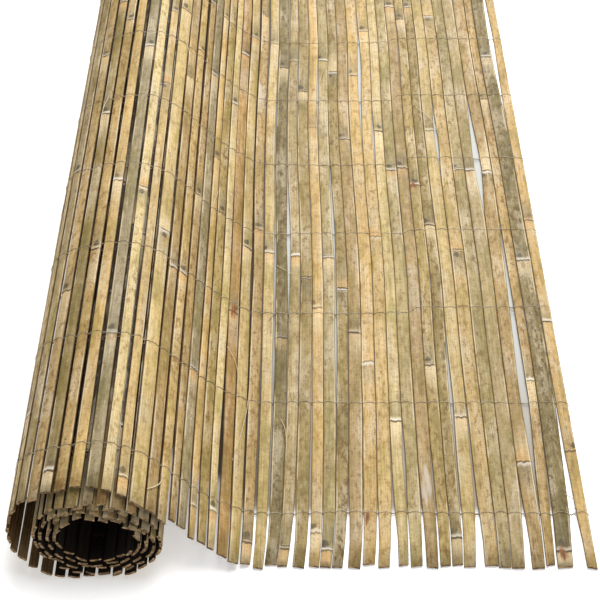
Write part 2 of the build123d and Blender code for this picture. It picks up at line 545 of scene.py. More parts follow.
def lift_at(strip, place, side):
    """How far a strip stands off its plain place: it rises, tilts and twists a little."""
    number = strip["number"]
    rise = mean_rise * (1 + soft_noise(place, number + 23, 0.35))
    most = tilt_in_view if number <= left_side_end else tilt_inside
    own_tilt = chance_of(number + 700).uniform(-most, most)
    tilt = (own_tilt + twist_most * soft_noise(place, number + 31, 0.28)) * mm
    return rise + side * tilt


def kink_at(strip, place):
    """How far a strip swings sideways: a cane bends slightly at each of its nodes."""
    swing = 0.0
    for node in strip["nodes"]:
        away = abs(place - abs(node))
        way = 1 if (strip["number"] + round(abs(node) / mm)) % 2 else -1
        swing += way * kink_swing * math.exp(-away / (25 * mm))
    return swing


def carve(strip, co, place):
    """Where one corner of the blank goes on the finished strip, across it and off its floor."""
    number = strip["number"]
    side = co.x / (blank_width / 2)
    depth = -co.z / thickness
    skin = 1.0 - depth
    right, left = edges_at(strip, place)
    edge = edge_wave * soft_noise(place, number + (40 if side > 0 else 80), 0.045)
    swell = node_swell(strip, place)
    x = (right + left) / 2 + side * ((right - left) / 2 + edge + 0.4 * swell) + kink_at(strip, place)
    z = co.z + skin * (swell - crown * side * side)
    z += skin * skin_wave * soft_noise(place, number + 9, 0.11)
    z += depth * inner_hollow * (1 - side * side)
    return x, z + lift_at(strip, place, side)


def end_cut(strip, side, at_far_end):
    """How far a cut end stands in or out at one side of the strip."""
    chance = chance_of(strip["number"] * 7 + at_far_end)
    slant = chance.uniform(-slant_most, slant_most) * mm
    rough = rough_cut * noise.noise(Vector((side * 2.3, strip["number"] * 1.9, 5.0 * at_far_end)))
    return slant * side + rough


# %% Painted shade inside the roll
# The shade inside the roll is painted into the tones. Under the outer turn a skin keeps its
# tone only near its ends, where the light comes in. An inner face is a little darker on the
# last strips of the climb and the left side of the roll, and painted nearly black further in.
last_unshaded_inside = lead_count - 3
deep_skin_light = 0.09
end_skin_light = 0.72
end_light_reach = 14 * mm


def skin_light(strip, place):
    """Share of its tone that a strip's skin keeps at a place along it, under the painted shade of the
    roll.
    """
    if strip["number"] <= outer_turn_end:
        return 1.0
    from_end = max(0.0, min(place, strip["length"] - place))
    return deep_skin_light + end_skin_light * math.exp(-from_end / end_light_reach)


def split_light(number):
    """Share of its tone that a strip's inner face keeps, under the painted shade of the roll."""
    if number <= last_unshaded_inside:
        return 1.0
    return 0.95 if number <= left_side_end else 0.07


# %% What the material reads from a strip
no_node = -9.0


def traits_of(strip):
    """A strip's tone, its nodes, its chance number and dirt, and its stain."""
    number = strip["number"]
    chance = chance_of(number + 300)
    seed = chance.uniform(0.0, 60.0)
    dirt = 1.0 if number in mouldy else chance.uniform(0.0, 0.6)
    place, reach, kind = stains.get(number, no_stain)
    nodes = Vector((strip["nodes"] + [no_node] * most_nodes)[:most_nodes])
    return tone_of(number), nodes, seed, dirt, Vector((place * mm, reach * mm, kind))


# %% Carve a strip and set it in its place
def choose_finish(face):
    """The skin, the split sides or the cut ends, by the way that a face looks."""
    face.normal_update()
    if abs(face.normal.y) > 0.7:
        return 2
    return 0 if face.normal.z > 0.45 else 1


def build_strip(strip, bm, spacing):
    """Adds one finished strip to a mesh, with the values that its material reads."""
    places = ring_places(strip, spacing)
    last_ring = len(places) - 1
    part = bmesh.new()
    part.from_mesh(blank_with(len(places)))
    tone_layer = part.verts.layers.float_color.new("tone")
    node_layer = part.verts.layers.float_vector.new("node_places")
    trait_layer = part.verts.layers.float_vector.new("strip_traits")
    stain_layer = part.verts.layers.float_vector.new("stain")
    map_layer = part.loops.layers.uv.new("strip")
    tone, nodes, seed, dirt, stain = traits_of(strip)
    for vert in part.verts:
        ring = round(vert.co.y * last_ring)
        place = places[ring]
        side = vert.co.x / (blank_width / 2)
        x, z = carve(strip, vert.co, place)
        if ring in (0, last_ring):
            place += end_cut(strip, side, int(ring == last_ring))
        # painted shade inside the roll: the skin's share darkens the tone, and the inner face's share is
        # its alpha
        light = skin_light(strip, place)
        vert[tone_layer] = (*(value * light for value in tone), split_light(strip["number"]))
        vert[node_layer] = nodes
        vert[stain_layer] = stain
        vert[trait_layer] = Vector((seed, dirt, max(-1.0, min(1.0, side))))
        vert.co = Vector((x, place, z))
    for face in part.faces:
        face.material_index = choose_finish(face)
        face.smooth = face.material_index != 2
        for loop in face.loops:
            loop[map_layer].uv = loop.vert.co.xy
    turn = Matrix((strip["across"], strip["along"], strip["out"])).transposed()
    for vert in part.verts:
        vert.co = strip["start"] + turn @ vert.co
    mesh = mesh_from(part, "one_strip")
    bm.from_mesh(mesh)
    bpy.data.meshes.remove(mesh)


# %% [markdown]
# ## The finishes
# A strip shows a waxy outer skin, fibrous split sides and inner face, and dark cut ends.
# They share their grain, so the grain is one node group that reads the strip's own map, and
# each strip's chance number shifts it. The rings of the cane are a second group, used once
# for each of the three places that a strip can hold. Painted images would blur close up, so
# everything is worked out by nodes.

# %% Small helpers for wiring nodes
def feed(value, socket):
    """Gives a socket a link or a plain value."""
    if isinstance(value, bpy.types.NodeSocket):
        socket.id_data.links.new(value, socket)
    else:
        socket.default_value = value


def add(tree, kind, **inputs):
    """A node of a kind, with its settings, and its inputs by name or, after an i, by number."""
    node = tree.nodes.new(kind)
    for key, value in inputs.items():
        if hasattr(node, key):
            setattr(node, key, value)
        else:
            name = int(key[1:]) if key[0] == "i" and key[1:].isdigit() else key
            feed(value, node.inputs[name])
    return node


def made(kind, **inputs):
    """A node of a kind in the tree that its first link comes from."""
    links = [value for value in inputs.values() if isinstance(value, bpy.types.NodeSocket)]
    return add(links[0].id_data, kind, **inputs)


def maths(operation, first, second=0.0, third=0.0):
    """The output of one Math node."""
    return made("ShaderNodeMath", operation=operation, i0=first, i1=second, i2=third).outputs[0]


def times(first, second):
    """Two values or masks multiplied."""
    return maths("MULTIPLY", first, second)


def less(first, second):
    """One value less another."""
    return maths("SUBTRACT", first, second)


def ramp(value, low, high, start=0.0, end=1.0, kind="SMOOTHSTEP"):
    """A smooth step of a value between two limits."""
    ends = {"i1": low, "i2": high, "i3": start, "i4": end}
    return made("ShaderNodeMapRange", interpolation_type=kind, i0=value, **ends).outputs[0]


def spread(value, low, high, darkest, lightest):
    """A value between two limits turned straight into another range."""
    return ramp(value, low, high, darkest, lightest, "LINEAR")


def parts_of(vector):
    """The three parts of a vector."""
    return made("ShaderNodeSeparateXYZ", Vector=vector).outputs


def grain(place, scale, detail=3.0, roughness=0.55):
    """Noise read at a place."""
    node = made("ShaderNodeTexNoise", Vector=place, Scale=scale, Detail=detail, Roughness=roughness)
    return node.outputs[0]


# %% Helpers for colours
def tint(share, first, second, blend_type="MIX"):
    """A mix of two colours."""
    mix = made("ShaderNodeMix", data_type="RGBA", blend_type=blend_type, i0=share, i6=first, i7=second)
    return mix.outputs[2]


def darkened(colour, value):
    """A colour multiplied by a grey value."""
    grey = made("ShaderNodeCombineColor", i0=value, i1=value, i2=value).outputs[0]
    return tint(1.0, colour, grey, "MULTIPLY")


def layered(colour, layers):
    """A colour with layers on it, each given as its mask, its strength and its colour."""
    for mask, strength, over in layers:
        colour = tint(times(mask, strength), colour, over)
    return colour


def roughened(shader, strength, distance, height):
    """Feeds a shader's normal from a height, which can't be carved as it is too fine."""
    bump = made("ShaderNodeBump", Strength=strength, Distance=distance, Height=height)
    feed(bump.outputs[0], shader.inputs["Normal"])


# %% New groups and materials
VALUE = "NodeSocketFloat"
VECTOR = "NodeSocketVector"


def new_group(name, inputs, masks):
    """An empty node group with its inputs, and masks as its outputs."""
    group = bpy.data.node_groups.new(name, "ShaderNodeTree")
    for label, kind in inputs.items():
        group.interface.new_socket(name=label, in_out="INPUT", socket_type=kind)
    for label in masks:
        group.interface.new_socket(name=label, in_out="OUTPUT", socket_type=VALUE)
    return group, group.nodes.new("NodeGroupInput").outputs, group.nodes.new("NodeGroupOutput").inputs


def use_group(tree, group, **inputs):
    """The outputs of a group placed in a material."""
    node = tree.nodes.new("ShaderNodeGroup")
    node.node_tree = group
    for name, value in inputs.items():
        feed(value, node.inputs[name])
    return node.outputs


def new_material(name, roughness=0.5):
    """An empty node material with its Principled shader."""
    material = bpy.data.materials.new(name)
    material.use_nodes = True
    shader = material.node_tree.nodes["Principled BSDF"]
    shader.inputs["Roughness"].default_value = roughness
    return material, material.node_tree, shader


def coloured(shader, colour, **looks):
    """Gives a shader its colour and its other looks."""
    for name, value in {"Base Color": colour, **looks}.items():
        feed(value, shader.inputs[name])


# %% [markdown]
# ### Grain of bamboo
# Bamboo has long fibres, soft clouds of darker skin, faint bands across it and small dark
# specks of mould. Each is noise, stretched by its own amount along and across the strip. The
# map is in metres, so the amounts are marks per metre.

# %% The grain group
def bamboo_grain():
    """Fibres, clouds, patches, bands and specks from a strip's map and its chance number."""
    names = ("Fibre", "Clouds", "Patches", "Bands", "Specks", "Wobble")
    group, source, result = new_group("bamboo_grain", {"Map": VECTOR, "Seed": VALUE}, names)
    place = parts_of(source["Map"])

    def marks_at(across, along, shift, detail, roughness):
        stretched = made(
            "ShaderNodeCombineXYZ", X=times(place[0], across),
            Y=times(place[1], along), Z=maths("ADD", source["Seed"], shift),
        )
        return grain(stretched.outputs[0], 1.0, detail, roughness)

    marks = {
        "Fibre": marks_at(1100, 12, 0.0, 3.0, 0.6),
        "Clouds": marks_at(230, 95, 11.0, 6.0, 0.74),
        "Patches": marks_at(70, 14, 23.0, 4.0, 0.6),
        "Bands": marks_at(170, 430, 31.0, 4.0, 0.65),
        "Wobble": marks_at(260, 40, 43.0, 2.0, 0.5),
    }
    speck = ramp(marks_at(760, 520, 57.0, 3.0, 0.65), 0.575, 0.665)
    marks["Specks"] = times(speck, ramp(marks["Patches"], 0.40, 0.60))
    for name, output in marks.items():
        feed(output, result[name])
    return group


# %% [markdown]
# ### The rings of the cane
# A node is a thin dark ridge. On the side that grew upwards the skin is waxy and pale for a
# few millimetres, with the dark scar of a bud past it and olive skin beyond; on the other
# side, where a sheath once sat, the skin is clean and orange for a few centimetres. Each node
# shows these more or less, so chance numbers drawn from its own place set their strengths.

# %% The node group
def oval(along, across, middle, half_size, wobble, ruffle):
    """How far a place lies out from the middle of a ragged oval; 1 is on its edge."""
    far_along = maths("DIVIDE", less(along, middle[0]), half_size[0])
    far_across = maths("DIVIDE", less(across, middle[1]), half_size[1])
    squares = [maths("POWER", far, 2.0) for far in (far_along, far_across)]
    return maths("MULTIPLY_ADD", wobble, ruffle, maths("ADD", *squares))


def cane_ring():
    """Masks for one node: its line, wax, shade and clean side, and the scar of its bud."""
    inputs = {"Map": VECTOR, "Node": VALUE, "Wobble": VALUE, "Seed": VALUE}
    names = ("Line", "Wax", "Shade", "Pale", "Orange", "Scar")
    group, source, result = new_group("cane_ring", inputs, names)
    place = parts_of(source["Map"])
    wobble = less(source["Wobble"], 0.5)
    there = maths("ABSOLUTE", source["Node"])
    away = times(less(place[1], there), maths("SIGN", source["Node"]))
    away = maths("MULTIPLY_ADD", wobble, 6.0 * mm, away)

    def chances(shift):
        spot = made("ShaderNodeCombineXYZ", X=source["Seed"], Y=there, Z=shift)
        dice = made("ShaderNodeTexWhiteNoise", Vector=spot.outputs[0])
        return made("ShaderNodeSeparateColor", i0=dice.outputs["Color"]).outputs

    def band(value, rise, fall):
        return times(ramp(value, *rise), ramp(value, *fall))

    def stripe(value, solid, faded):
        return ramp(maths("ABSOLUTE", value), solid, faded, 1.0, 0.0)

    first, second, third = chances(1.0), chances(2.0), chances(3.0)
    ridge = stripe(away, 0.5 * mm, 1.8 * mm)
    ridge = times(ridge, maths("MULTIPLY_ADD", first[0], 0.55, 0.45))
    sheath_line = stripe(less(away, 3.6 * mm), 0.2 * mm, 1.1 * mm)
    sheath_line = times(sheath_line, ramp(first[1], 0.3, 0.9))
    wax = band(away, (0.4 * mm, 1.2 * mm), (5.8 * mm, 3.2 * mm))
    shade = band(away, (2 * mm, 9 * mm), (45 * mm, 10 * mm))
    below = ramp(away, -0.6 * mm, -1.8 * mm)
    clean_from = maths("MULTIPLY_ADD", second[1], -55 * mm, -18 * mm)
    clean = times(below, ramp(away, clean_from, -6 * mm))
    orange = times(below, ramp(away, -22 * mm, -3 * mm))
    off_middle = times(less(third[1], 0.5), 5.0 * mm)
    bud = oval(away, place[0], (7.5 * mm, off_middle), (3.4 * mm, 3.4 * mm), wobble, 4.4)
    masks = {
        "Line": maths("MAXIMUM", ridge, sheath_line),
        "Wax": times(wax, ramp(first[2], 0.05, 0.80)),
        "Shade": times(shade, maths("MULTIPLY_ADD", second[0], 0.7, 0.3)),
        "Pale": times(clean, ramp(third[0], 0.1, 0.8)),
        "Orange": times(orange, ramp(second[2], 0.35, 0.95)),
        "Scar": times(ramp(bud, 1.55, 0.45), ramp(third[2], 0.0, 0.45)),
    }
    is_there = maths("LESS_THAN", there, abs(no_node) / 2)
    for name, mask in masks.items():
        feed(times(mask, is_there), result[name])
    return group


grain_group = bamboo_grain()
ring_group = cane_ring()
print("node groups:", [f"{group.name} ({len(group.nodes)} nodes)" for group in (grain_group, ring_group)])


# %% What the finishes read from a strip
def read_strip(tree):
    """The strip's map, tone, painted shade of its inner face, chance number, dirt and nearness to its
    edge, and its marks.
    """
    strip_map = add(tree, "ShaderNodeUVMap", uv_map="strip").outputs[0]
    tone, traits, nodes, stain = (
        add(tree, "ShaderNodeAttribute", attribute_name=name).outputs
        for name in ("tone", "strip_traits", "node_places", "stain")
    )
    seed, dirt, side = parts_of(traits["Vector"])
    marks = use_group(tree, grain_group, Map=strip_map, Seed=seed)
    rings = {}
    for node in parts_of(nodes["Vector"]):
        masks = use_group(tree, ring_group, Map=strip_map, Node=node, Wobble=marks["Wobble"], Seed=seed)
        for mask in masks:
            known = rings.get(mask.name)
            rings[mask.name] = maths("MAXIMUM", known, mask) if known else mask
    return {
        "place": parts_of(strip_map), "tone": tone["Color"], "light": tone["Alpha"],
        "seed": seed, "dirt": dirt, "side": side, "stain": parts_of(stain["Vector"]),
        "marks": marks, "rings": rings,
    }


# %% The colours of the marks on a skin
clean_skin = (0.74, 0.59, 0.36, 1)
orange_skin = (0.52, 0.28, 0.075, 1)
olive_skin = (0.15, 0.125, 0.065, 1)
pale_skin = (0.62, 0.53, 0.38, 1)
wax_white = (0.66, 0.61, 0.51, 1)
bud_scar = (0.060, 0.047, 0.026, 1)
ring_brown = (0.045, 0.022, 0.009, 1)
speck_brown = (0.085, 0.055, 0.022, 1)
bare_wood = (0.50, 0.43, 0.34, 1)
rust = (0.29, 0.105, 0.022, 1)
deep_rust = (0.095, 0.028, 0.008, 1)
fresh_and_lit_edge = (0.70, 0.60, 0.40, 1)
painted_edge_shade = (0.13, 0.075, 0.030, 1)
stain_half_width = 4.2 * mm


# %% The waxy outer skin
def clouded(strip):
    """The strip's tone, patched pale and green, clouded brown, and streaked by its fibres."""
    tone, marks, rings = strip["tone"], strip["marks"], strip["rings"]
    brown = tint(1.0, tone, (0.58, 0.49, 0.37, 1), "MULTIPLY")
    pale = tint(0.40, tone, pale_skin)
    green = tint(1.0, tone, (0.72, 0.75, 0.56, 1), "MULTIPLY")
    mould = maths("MULTIPLY_ADD", strip["dirt"], 0.55, 0.60)
    colour = layered(tone, (
        (ramp(marks["Patches"], 0.51, 0.63), 0.90, pale),
        (ramp(marks["Patches"], 0.48, 0.37), 0.90, green),
        (ramp(marks["Clouds"], 0.49, 0.63), mould, brown),
        (ramp(marks["Clouds"], 0.45, 0.34), 0.50, pale),
        (rings["Pale"], 0.66, clean_skin),
        (rings["Orange"], 0.75, orange_skin),
        (rings["Shade"], 0.58, olive_skin),
    ))
    fibre = spread(marks["Fibre"], 0.25, 0.75, 0.70, 1.24)
    bands = spread(marks["Bands"], 0.30, 0.70, 0.84, 1.12)
    return darkened(colour, times(fibre, bands))


def stained(strip, colour):
    """The colour with the strip's own stain: rusty, or pale where the skin has come off."""
    wobble = less(strip["marks"]["Wobble"], 0.5)
    middle, half_length, is_rust = strip["stain"]
    across, along, _ = strip["place"]
    reach = oval(along, across, (middle, 0.0), (half_length, stain_half_width), wobble, 4.0)
    kind = tint(is_rust, bare_wood, rust)
    core = times(ramp(reach, 0.7, -0.3), is_rust)
    return layered(colour, (
        (ramp(reach, 1.4, 0.1), 0.85, kind),
        (core, 0.7, deep_rust),
    ))


def edged(strip, colour):
    """The colour with a pale line along one edge, for split fibres and a painted highlight of the lit
    side, painted shade on both rounded edges, and a slow change of brightness.
    """
    from_middle = maths("ABSOLUTE", strip["side"])
    # a pale line along one edge: split fibres, and a painted highlight of the lit side face
    pale_side = maths("SINE", times(strip["seed"], 7.0))
    rim = times(ramp(from_middle, 0.70, 0.80), ramp(from_middle, 0.93, 0.86))
    fresh_and_lit = times(rim, ramp(times(strip["side"], pale_side), 0.0, 0.2))
    fresh_and_lit = times(fresh_and_lit, ramp(strip["marks"]["Patches"], 0.44, 0.54))
    colour = layered(colour, (
        (fresh_and_lit, 0.62, fresh_and_lit_edge),
        # painted shade along both rounded edges
        (ramp(from_middle, 0.86, 1.0), 0.72, painted_edge_shade),
    ))
    slow_place = made("ShaderNodeCombineXYZ", X=strip["seed"], Y=times(strip["place"][1], 7.0))
    drift = grain(slow_place.outputs[0], 1.0, 3.0, 0.6)
    return darkened(colour, spread(drift, 0.3, 0.7, 0.84, 1.14))


def bamboo_skin():
    """Skin: the strip's tone, clouded and specked, with the marks of its nodes."""
    material, tree, shader = new_material("bamboo_skin")
    strip = read_strip(tree)
    marks, rings = strip["marks"], strip["rings"]
    colour = layered(clouded(strip), (
        (marks["Specks"], maths("MULTIPLY_ADD", strip["dirt"], 0.45, 0.45), speck_brown),
        (rings["Wax"], 0.85, wax_white),
        (rings["Scar"], 0.88, bud_scar),
        (rings["Line"], 0.92, ring_brown),
    ))
    colour = edged(strip, stained(strip, colour))
    coloured(shader, colour, Roughness=spread(marks["Clouds"], 0.3, 0.7, 0.44, 0.64))
    shader.inputs["Specular IOR Level"].default_value = 0.24
    height = maths("MULTIPLY_ADD", marks["Fibre"], 0.5, times(marks["Clouds"], 0.5))
    height = maths("MULTIPLY_ADD", rings["Line"], -0.8, height)
    roughened(shader, 0.5, 0.4 * mm, height)
    return material


# %% The split sides and the inner face
def bamboo_split():
    """Split side: brown with dust and painted shade, with strong fibres and no skin."""
    material, tree, shader = new_material("bamboo_split", roughness=0.8)
    strip = read_strip(tree)
    marks = strip["marks"]
    # split sides and inner face: dust, and painted shade that makes them far darker than split cane,
    # darker still inside the roll
    dust_and_shade = tint(0.76, strip["tone"], (0.125, 0.068, 0.028, 1))
    base = darkened(dust_and_shade, strip["light"])
    dark = tint(1.0, base, (0.36, 0.29, 0.22, 1), "MULTIPLY")
    colour = layered(dark, (
        (ramp(marks["Fibre"], 0.36, 0.68), 1.0, base),
        (ramp(marks["Clouds"], 0.46, 0.64), 0.7, dark),
        (strip["rings"]["Line"], 0.6, ring_brown),
    ))
    coloured(shader, colour)
    shader.inputs["Specular IOR Level"].default_value = 0.15
    roughened(shader, 0.7, 0.6 * mm, marks["Fibre"])
    return material


# %% The cut ends
def object_place(tree):
    """Where a point lies on its piece."""
    return tree.nodes.new("ShaderNodeTexCoord").outputs["Object"]


def bamboo_cut():
    """Cut end: dark, dirty and pitted by the open ends of the fibres."""
    material, tree, shader = new_material("bamboo_cut", roughness=0.9)
    place = object_place(tree)
    pores = made("ShaderNodeTexVoronoi", Vector=place, Scale=1500.0).outputs["Distance"]
    smear = grain(place, 260.0, 3.0, 0.6)
    colour = tint(ramp(smear, 0.40, 0.66), (0.105, 0.058, 0.024, 1), (0.38, 0.245, 0.110, 1))
    colour = tint(ramp(pores, 0.28, 0.12), colour, (0.030, 0.016, 0.008, 1))
    coloured(shader, colour)
    roughened(shader, 0.8, 0.4 * mm, smear)
    return material


# %% The galvanised wire
def tie_wire_finish():
    """Wire: dull zinc, browned in patches, with a little shine left."""
    material, tree, shader = new_material("tie_wire")
    place = object_place(tree)
    patches = grain(place, 140.0, 4.0, 0.6)
    fine = grain(place, 1600.0, 2.0, 0.5)
    colour = tint(ramp(patches, 0.40, 0.62), (0.47, 0.40, 0.29, 1), (0.22, 0.16, 0.095, 1))
    colour = layered(colour, ((ramp(fine, 0.5, 0.7), 0.4, (0.52, 0.49, 0.43, 1)),))
    metallic = ramp(patches, 0.62, 0.38, 0.10, 0.55)
    coloured(shader, colour, Metallic=metallic, Roughness=ramp(fine, 0.3, 0.7, 0.42, 0.66))
    return material


strip_finishes = [bamboo_skin(), bamboo_split(), bamboo_cut()]
wire_finish = tie_wire_finish()
print("finishes:", [material.name for material in strip_finishes + [wire_finish]])

# %% [markdown]
# ## Setting out the strips
# Each strip of the unrolled part replaces its own CAD node. In the roll one node holds a
# whole turn, so one piece stands for it. Little more than the ends is seen of the strips
# inside the outer turn, so they get fewer rings.

# %% Add a finished piece
fine_rings = 28 * mm
coarse_rings = 170 * mm


def put_in_scene(name, data):
    """A new object in the scene."""
    thing = bpy.data.objects.new(name, data)
    bpy.context.scene.collection.objects.link(thing)
    return thing


def add_piece(name, mesh, finishes, slot, *nodes):
    """A new piece of the screen with its finishes, in place of the CAD nodes that it stands for."""
    for finish in finishes:
        mesh.materials.append(finish)
    piece = put_in_scene(name, mesh)
    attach(piece, "root")
    if nodes:
        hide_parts(*nodes)
    return piece


def finish_strips(name, group, node, spacing):
    """One piece made of the strips of one CAD node."""
    bm = bmesh.new()
    for strip in group:
        build_strip(strip, bm, spacing)
    add_piece(name, mesh_from(bm, name), strip_finishes, "split_bamboo", node)


# %% Make the strips
for node, strip in zip(lead_nodes, strips):
    finish_strips(node.replace("lead_slat", "carved_slat"), [strip], node, fine_rings)
for node in turn_nodes:
    spacing = fine_rings if node == turn_nodes[0] else coarse_rings
    finish_strips(node.replace("roll_turn", "carved_turn"), turn_strips[node], node, spacing)
print("strip pieces:", len(lead_nodes) + len(turn_nodes))

# %% [markdown]
# ## The tie wires
# Two wires run in each row. One lies on the skin of a strip and the other behind it, and in
# each gap they twist and change places. One long helix would float off the strips, so each
# wire is a line through points on the strips' own faces, with a short twist in every gap.

# %% How the rows run
# On the real screen the rows jump a little between two strips in the flat part. The offsets
# are from the even spacing, in millimetres, for the rows from the near end to the far end.
jump_after = 10
offsets_before_jump = (-5, 3, 11, 7, 7, 5, 0, 2)
offsets_after_jump = (-5, 3, 1, 0, -6, -8, -9, -6)
row_places = [middle_of(node).y for node in wire_nodes]
travel = 1.0 if strips[0]["across"].x > 0 else -1.0
print("rows at", [round(place, 3) for place in row_places], "travel", travel)


def row_shift(travelled, row):
    """How far a row wanders along the strips, in metres, after that many strips."""
    before, after = offsets_before_jump[row], offsets_after_jump[row]
    jump = smooth_step(travelled, jump_after, jump_after + 1.3)
    slow = soft_noise(travelled * 0.01, row + 3, 0.045)
    quick = soft_noise(travelled * 0.01, row + 13, 0.013)
    return (before + (after - before) * jump + 1.6 * slow + 0.9 * quick) * mm


# %% Where a wire touches a strip
def on_strip(strip, row_y, side, height):
    """A point over (or under) a strip: side from -1 to 1 across it, height above its skin."""
    place = (row_y - strip["start"].y) / strip["along"].y
    right, left = edges_at(strip, place)
    across = (right + left) / 2 + side * (right - left) / 2
    level = height - crown * min(1.0, side * side) if height > 0 else height
    level += lift_at(strip, place, side)
    return strip["start"] + strip["along"] * place + strip["across"] * across + strip["out"] * level


# %% The twist in a gap
narrow_gap = 3.5 * mm
pinch_most = 0.72


def twist(start, end, start_side, out):
    """Points of one wire in a gap, where it turns round the other from one face to the other."""
    half_turns = 1 if (start - end).length < narrow_gap else 3
    steps = 4 * half_turns + 1
    points = []
    for step in range(1, steps):
        share = step / steps
        angle = math.pi * share * half_turns
        pinch = 1.0 - math.sin(math.pi * share) * pinch_most
        radius = thickness / 2 * pinch + wire_radius * 0.4
        lift = math.cos(angle) * start_side * radius
        swing = math.sin(angle) * start_side * wire_radius * 1.3
        points.append(start.lerp(end, share) + out * lift + Vector((0, swing, 0)))
    return points


# %% The line of one wire
stations_across = (0.97, 0.72, 0.3, -0.3, -0.72, -0.97)
off_face = wire_radius * 0.9


def wire_points(row, first_side):
    """All the points of one wire, from the free edge to the inner end."""
    points = []
    side = first_side
    for number, strip in enumerate(strips):
        height = off_face if side > 0 else -thickness - off_face
        bow = chance_of(number * 53 + row).uniform(0.6, 2.6) * mm
        for across in stations_across:
            shift = row_shift(number + (1 - across) / 2, row) + bow * (1 - across * across)
            points.append(on_strip(strip, row_places[row] + shift, across * travel, height))
        if number + 1 == len(strips):
            break
        after = strips[number + 1]
        there = row_places[row] + row_shift(number + 1, row)
        leave = on_strip(strip, there, -travel, -thickness / 2)
        arrive = on_strip(after, there, travel, -thickness / 2)
        points += twist(leave, arrive, side, (strip["out"] + after["out"]).normalized())
        side = -side
    return points


# %% The loose end of one wire
def loose_end(row, first_side):
    """The tail of a wire past the first strip: a short stiff end, bent off the edge."""
    chance = chance_of(900 + row * 2 + (first_side > 0))
    height = wire_radius if first_side > 0 else -thickness
    start = on_strip(strips[0], row_places[row] + row_shift(0, row), 0.96 * travel, height)
    reach = chance.uniform(0.8, 2.2) * mm
    swing = chance.uniform(-2.0, 2.0) * mm
    lift = chance.uniform(0.0, 0.6) * mm
    sag = 0.8 * mm
    return [start + Vector((reach * s, swing * s * s, lift * s * s - sag * s)) for s in (1.0, 0.7, 0.4)]


# %% Tubes along the wires
def tube(name, lines, radius):
    """A mesh of round tubes along some lines of points."""
    curve = bpy.data.curves.new(name, "CURVE")
    curve.dimensions = "3D"
    curve.bevel_depth = radius
    curve.bevel_resolution = 1
    curve.use_fill_caps = True
    for line in lines:
        spline = curve.splines.new("POLY")
        spline.points.add(len(line) - 1)
        for point, place in zip(spline.points, line):
            point.co = (*place, 1.0)
    carrier = put_in_scene(name, curve)
    mesh = bpy.data.meshes.new_from_object(carrier)
    bpy.data.objects.remove(carrier)
    bpy.data.curves.remove(curve)
    mesh.name = name
    for face in mesh.polygons:
        face.use_smooth = True
    return mesh


for row, node in enumerate(wire_nodes):
    name = node.replace("tie_wire", "wire_pair")
    lines = [loose_end(row, side) + wire_points(row, side) for side in (1, -1)]
    piece = add_piece(name, tube(name, lines, wire_radius), [wire_finish], "tie_wire", node)
print("points in one wire:", len(lines[0]), "faces in one pair:", len(piece.data.polygons))

# %% [markdown]
# ## Stray ends
# Beside the first row thin wire ends stick out between the last two strips, and two more
# stand off the third row, where ties were mended. A few splinters and long fibres have
# lifted off the edges of strips. All of them break the even lines, as on the real screen.
# Each is a tube along a few points, set from the free edge or from a strip's own edge.

# %% Stray wires at the first and the third row
# Each place is how far back from the free edge, behind the front line and off the floor it lies.
stray_places = (
    ((20, 79, 3.8), (16, 75, 5.0), (11, 70, 5.6)),
    ((19, 60, 3.6), (16, 63, 4.4), (11, 62, 3.8)),
    ((17, 56, 3.4), (13, 57, 4.6), (11, 60, 5.0)),
    ((47, 312, 3.6), (43, 316, 4.4), (39, 317, 4.0)),
    ((288, 316, 4.0), (293, 311, 4.6), (298, 302, 4.0)),
)
free_edge = cad_bounds[1][0]


def from_free_edge(back, behind, height):
    """A point given from the free edge, the front line and the floor, in millimetres."""
    return Vector((free_edge - back * mm, front_line + behind * mm, height * mm))


stray_lines = [[from_free_edge(*place) for place in line] for line in stray_places]
stray_mesh = tube("stray_wire_ends", stray_lines, wire_radius)
add_piece("stray_wire_ends", stray_mesh, [wire_finish], "tie_wire")
print("stray wire ends:", len(stray_lines))

# %% Split fibres
# Each is its strip, where it starts, its length, its swing in half widths and its lift, the
# rest in millimetres. The three alike make one stiff splinter.
fibres = [
    (24, 225, -125, -3.4, 3.5), (25, 210, 40, -2.2, 1.5), (32, 45.5, -23, -3.0, 1.8),
    (32, 45, -23, -3.0, 1.9), (32, 44.5, -22, -2.9, 1.8), (22, 384, -12, 2.9, 2.0),
    (7, 610, 55, -3.2, 2.0), (5, 660, 45, 1.6, 2.5), (12, 800, 40, 1.2, 1.5), (15, 620, 70, 0.8, 1.2),
    (10, 300, 60, 0.7, 1.0), (18, 700, 50, 1.4, 2.0), (29, 420, 46, 1.8, 2.0), (40, 500, 50, 1.1, 1.6),
    (21, 140, 30, -1.2, 2.0), (3, 520, 42, 1.5, 1.5), (33, 640, 44, -1.6, 2.0),
]
fibre_radius = 0.32 * mm
fibre_steps = 8


def fibre_line(number, place, length, swing, lift):
    """The points of a fibre that leaves a strip's edge and comes down again."""
    strip = strips[number - 1]
    points = []
    for step in range(fibre_steps + 1):
        share = step / fibre_steps
        at = strip["start"].y + (place + length * share) * mm
        height = (0.5 + lift * math.sin(math.pi * share)) * mm
        points.append(on_strip(strip, at, -0.9 + swing * share * share, height))
    return points


def fibre_finish():
    """Split fibre: pale, bare cane."""
    material, tree, shader = new_material("split_fibre", roughness=0.6)
    streaks = grain(object_place(tree), 420.0, 2.0, 0.5)
    colour = tint(ramp(streaks, 0.3, 0.7), (0.55, 0.43, 0.24, 1), (0.72, 0.62, 0.42, 1))
    coloured(shader, colour)
    return material


fibre_mesh = tube("split_fibres", [fibre_line(*fibre) for fibre in fibres], fibre_radius)
add_piece("split_fibres", fibre_mesh, [fibre_finish()], "split_bamboo")
print("split fibres:", len(fibres))

